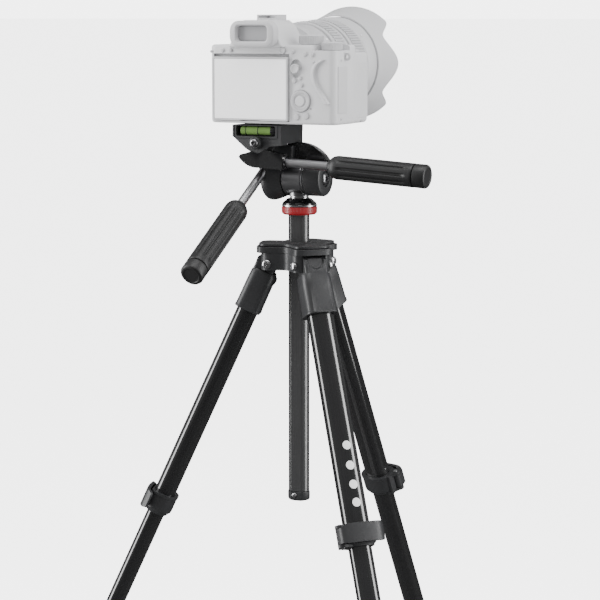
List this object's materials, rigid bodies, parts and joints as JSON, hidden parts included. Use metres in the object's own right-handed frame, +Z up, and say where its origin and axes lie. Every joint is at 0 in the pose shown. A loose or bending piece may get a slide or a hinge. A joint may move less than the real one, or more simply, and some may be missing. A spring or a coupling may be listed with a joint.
{
  "type": "camera on tripod",
  "caption": "Compact aluminium travel tripod with a two-handle three-way head, carrying a mirrorless camera with a wide zoom lens and petal hood.",
  "frame": {"origin": "On the floor under the middle of the whole object's box, with the legs spread.", "axes": "+Z up along the centre column; +Y the way the lens looks; +X towards the camera's right-hand grip."},
  "size_m": [0.565, 0.5404, 0.8687],
  "materials": {
    "satin_plastic": "fine-grained satin glass-filled nylon",
    "gloss_plastic": "polished black",
    "black_tube": "black anodised, glossy",
    "gunmetal": "brushed gunmetal anodising",
    "polished_rod": "polished, dark nickel",
    "red_ring": "satin red",
    "handle_rubber": "soft matt rubber",
    "foot_rubber": "matt rubber",
    "vial": "clear green acrylic",
    "camera_shell": "pale grey, fine stipple",
    "camera_lens": "pale grey satin",
    "camera_control": "pale grey, satin",
    "screen": "smooth pale panel"
  },
  "bodies": {
    "spider": {"spider": "satin_plastic", "spider_cover": "satin_plastic"},
    "leg_1": {"leg_1_casting": "satin_plastic", "leg_1_upper_tube": "black_tube", "leg_1_upper_collar": "satin_plastic"},
    "leg_1_middle": {"leg_1_middle_tube": "black_tube", "leg_1_lower_collar": "satin_plastic"},
    "leg_1_bottom": {"leg_1_lower_tube": "black_tube", "leg_1_foot": "foot_rubber"},
    "leg_1_upper_lock": {"leg_1_upper_lever": "satin_plastic"},
    "leg_1_lower_lock": {"leg_1_lower_lever": "satin_plastic"},
    "leg_2": {"leg_2_casting": "satin_plastic", "leg_2_upper_tube": "black_tube", "leg_2_upper_collar": "satin_plastic"},
    "leg_2_middle": {"leg_2_middle_tube": "black_tube", "leg_2_lower_collar": "satin_plastic"},
    "leg_2_bottom": {"leg_2_lower_tube": "black_tube", "leg_2_foot": "foot_rubber"},
    "leg_2_upper_lock": {"leg_2_upper_lever": "satin_plastic"},
    "leg_2_lower_lock": {"leg_2_lower_lever": "satin_plastic"},
    "leg_3": {"leg_3_casting": "satin_plastic", "leg_3_upper_tube": "black_tube", "leg_3_upper_collar": "satin_plastic"},
    "leg_3_middle": {"leg_3_middle_tube": "black_tube", "leg_3_lower_collar": "satin_plastic"},
    "leg_3_bottom": {"leg_3_lower_tube": "black_tube", "leg_3_foot": "foot_rubber"},
    "leg_3_upper_lock": {"leg_3_upper_lever": "satin_plastic"},
    "leg_3_lower_lock": {"leg_3_lower_lever": "satin_plastic"},
    "column": {"column": "black_tube", "column_end_cap": "satin_plastic", "head_base": "satin_plastic"},
    "column_knob": {"column_lock_knob": "satin_plastic"},
    "lock_ring": {"lock_ring": "red_ring"},
    "pan_base": {"pan_barrel": "gunmetal", "barrel_end_cap": "satin_plastic"},
    "tilt_head": {"tilt_housing": "satin_plastic", "hinge_pin": "satin_plastic"},
    "pan_handle": {"pan_rod": "polished_rod", "pan_grip": "handle_rubber"},
    "side_head": {"platform": "satin_plastic", "handle_clamp": "gloss_plastic", "bubble_vial": "vial"},
    "side_handle": {"side_rod": "polished_rod", "side_grip": "handle_rubber"},
    "release_lever": {"quick_release_lever": "satin_plastic"},
    "camera": {"quick_release_plate": "satin_plastic", "camera_body": "camera_shell", "lens_barrel": "camera_lens"},
    "rear_screen": {"rear_screen": "screen"},
    "control_wheel": {"control_wheel": "camera_control"},
    "joystick": {"joystick": "camera_control"},
    "custom_button": {"custom_button": "camera_control"},
    "mode_dial": {"mode_dial": "camera_control"},
    "exposure_dial": {"exposure_dial": "camera_control"},
    "shutter_button": {"shutter_button": "camera_control"},
    "zoom_ring": {"zoom_ring": "camera_lens"},
    "focus_ring": {"focus_ring": "camera_lens"},
    "lens_hood": {"lens_hood": "camera_lens"}
  },
  "joints": [
    {"name": "leg_1_fold", "type": "hinge", "parent": "spider", "child": "leg_1", "pos_m": [0.00163, -0.06398, 0.63748], "axis": [0.342, -0.9397, 0], "range_deg": [0, 21]},
    {"name": "leg_1_upper_slide", "type": "slide", "parent": "leg_1", "child": "leg_1_middle", "axis": [0.3882, 0.1413, 0.9107], "range_m": [0, 0.186]},
    {"name": "leg_1_lower_slide", "type": "slide", "parent": "leg_1_middle", "child": "leg_1_bottom", "axis": [0.3882, 0.1413, 0.9107], "range_m": [0, 0.196]},
    {"name": "leg_1_upper_lever_turn", "type": "hinge", "parent": "leg_1", "child": "leg_1_upper_lock", "pos_m": [-0.10462, -0.08371, 0.41461], "axis": [-0.3882, -0.1413, -0.9107], "range_deg": [0, 105]},
    {"name": "leg_1_lower_lever_turn", "type": "hinge", "parent": "leg_1_middle", "child": "leg_1_lower_lock", "pos_m": [-0.18752, -0.11563, 0.21881], "axis": [-0.3882, -0.1413, -0.9107], "range_deg": [0, 105]},
    {"name": "leg_2_fold", "type": "hinge", "parent": "spider", "child": "leg_2", "pos_m": [0.04888, -0.07231, 0.63748], "axis": [0.6428, 0.766, 0], "range_deg": [0, 21]},
    {"name": "leg_2_upper_slide", "type": "slide", "parent": "leg_2", "child": "leg_2_middle", "axis": [-0.3165, 0.2655, 0.9107], "range_m": [0, 0.186]},
    {"name": "leg_2_lower_slide", "type": "slide", "parent": "leg_2_middle", "child": "leg_2_bottom", "axis": [-0.3165, 0.2655, 0.9107], "range_m": [0, 0.196]},
    {"name": "leg_2_upper_lever_turn", "type": "hinge", "parent": "leg_2", "child": "leg_2_upper_lock", "pos_m": [0.11909, -0.15446, 0.41461], "axis": [0.3165, -0.2655, -0.9107], "range_deg": [0, 105]},
    {"name": "leg_2_lower_lever_turn", "type": "hinge", "parent": "leg_2_middle", "child": "leg_2_lower_lock", "pos_m": [0.18819, -0.21028, 0.21881], "axis": [0.3165, -0.2655, -0.9107], "range_deg": [0, 105]},
    {"name": "leg_3_fold", "type": "hinge", "parent": "spider", "child": "leg_3", "pos_m": [0.03247, -0.02722, 0.63748], "axis": [-0.9848, 0.1736, 0], "range_deg": [0, 21]},
    {"name": "leg_3_upper_slide", "type": "slide", "parent": "leg_3", "child": "leg_3_middle", "axis": [-0.0717, -0.4068, 0.9107], "range_m": [0, 0.186]},
    {"name": "leg_3_lower_slide", "type": "slide", "parent": "leg_3_middle", "child": "leg_3_bottom", "axis": [-0.0717, -0.4068, 0.9107], "range_m": [0, 0.196]},
    {"name": "leg_3_upper_lever_turn", "type": "hinge", "parent": "leg_3", "child": "leg_3_upper_lock", "pos_m": [0.06851, 0.07466, 0.41461], "axis": [0.0717, 0.4068, -0.9107], "range_deg": [0, 105]},
    {"name": "leg_3_lower_lever_turn", "type": "hinge", "parent": "leg_3_middle", "child": "leg_3_lower_lock", "pos_m": [0.08231, 0.16241, 0.21881], "axis": [0.0717, 0.4068, -0.9107], "range_deg": [0, 105]},
    {"name": "column_slide", "type": "slide", "parent": "spider", "child": "column", "axis": [0, 0, 1], "range_m": [-0.022, 0.19]},
    {"name": "column_knob_turn", "type": "hinge", "parent": "spider", "child": "column_knob", "pos_m": [0.00008, -0.03136, 0.63948], "axis": [-0.766, 0.6428, 0], "range_deg": [-270, 0]},
    {"name": "lock_ring_turn", "type": "hinge", "parent": "column", "child": "lock_ring", "pos_m": [0.02766, -0.0545, 0.68548], "axis": [0, 0, 1], "range_deg": [-45, 0]},
    {"name": "pan", "type": "hinge", "parent": "column", "child": "pan_base", "pos_m": [0.02766, -0.0545, 0.69948], "axis": [0, 0, 1], "continuous": true},
    {"name": "tilt", "type": "hinge", "parent": "pan_base", "child": "tilt_head", "pos_m": [0.02766, -0.0545, 0.71458], "axis": [-1, 0, 0], "range_deg": [-20, 60]},
    {"name": "pan_handle_twist", "type": "hinge", "parent": "tilt_head", "child": "pan_handle", "pos_m": [-0.00034, -0.0685, 0.72208], "axis": [0, -0.8536, -0.521], "range_deg": [-180, 0]},
    {"name": "side_tilt", "type": "hinge", "parent": "tilt_head", "child": "side_head", "pos_m": [0.00026, -0.0545, 0.74698], "axis": [0, -1, 0], "range_deg": [0, 90]},
    {"name": "side_handle_twist", "type": "hinge", "parent": "side_head", "child": "side_handle", "pos_m": [0.02766, -0.079, 0.72988], "axis": [0.9982, 0, -0.0593], "range_deg": [-180, 0]},
    {"name": "release_lever_turn", "type": "hinge", "parent": "side_head", "child": "release_lever", "pos_m": [-0.01884, -0.0361, 0.75748], "axis": [0, 0, 1], "range_deg": [0, 55]},
    {"name": "camera_lift_off", "type": "slide", "parent": "side_head", "child": "camera", "axis": [0, 0, 1], "range_m": [0, 0.05]},
    {"name": "screen_tilt", "type": "hinge", "parent": "camera", "child": "rear_screen", "pos_m": [0.02766, -0.0865, 0.82188], "axis": [-1, 0, 0], "range_deg": [0, 90]},
    {"name": "control_wheel_turn", "type": "hinge", "parent": "camera", "child": "control_wheel", "pos_m": [0.04566, -0.0875, 0.78498], "axis": [0, -1, 0], "continuous": true},
    {"name": "joystick_push", "type": "hinge", "parent": "camera", "child": "joystick", "pos_m": [0.04116, -0.0849, 0.81348], "axis": [1, 0, 0], "range_deg": [-8, 8], "stiffness_Nm_per_rad": 0.02},
    {"name": "custom_button_press", "type": "slide", "parent": "camera", "child": "custom_button", "axis": [0, 1, 0], "range_m": [0, 0.0009], "stiffness_N_per_m": 400},
    {"name": "mode_dial_turn", "type": "hinge", "parent": "camera", "child": "mode_dial", "pos_m": [0.04466, -0.0645, 0.83748], "axis": [0, 0, 1], "continuous": true},
    {"name": "exposure_dial_turn", "type": "hinge", "parent": "camera", "child": "exposure_dial", "pos_m": [0.06766, -0.0695, 0.83348], "axis": [0, 0, 1], "range_deg": [-120, 120]},
    {"name": "shutter_press", "type": "slide", "parent": "camera", "child": "shutter_button", "axis": [0, 0, -1], "range_m": [0, 0.0012], "stiffness_N_per_m": 600},
    {"name": "zoom_ring_turn", "type": "hinge", "parent": "camera", "child": "zoom_ring", "pos_m": [0.00266, 0.0115, 0.81448], "axis": [0, 1, 0], "range_deg": [0, 70]},
    {"name": "focus_ring_turn", "type": "hinge", "parent": "camera", "child": "focus_ring", "pos_m": [0.00266, 0.0415, 0.81448], "axis": [0, 1, 0], "continuous": true},
    {"name": "hood_turn", "type": "hinge", "parent": "camera", "child": "lens_hood", "pos_m": [0.00266, 0.0755, 0.81448], "axis": [0, 1, 0], "range_deg": [0, 65]}
  ]
}
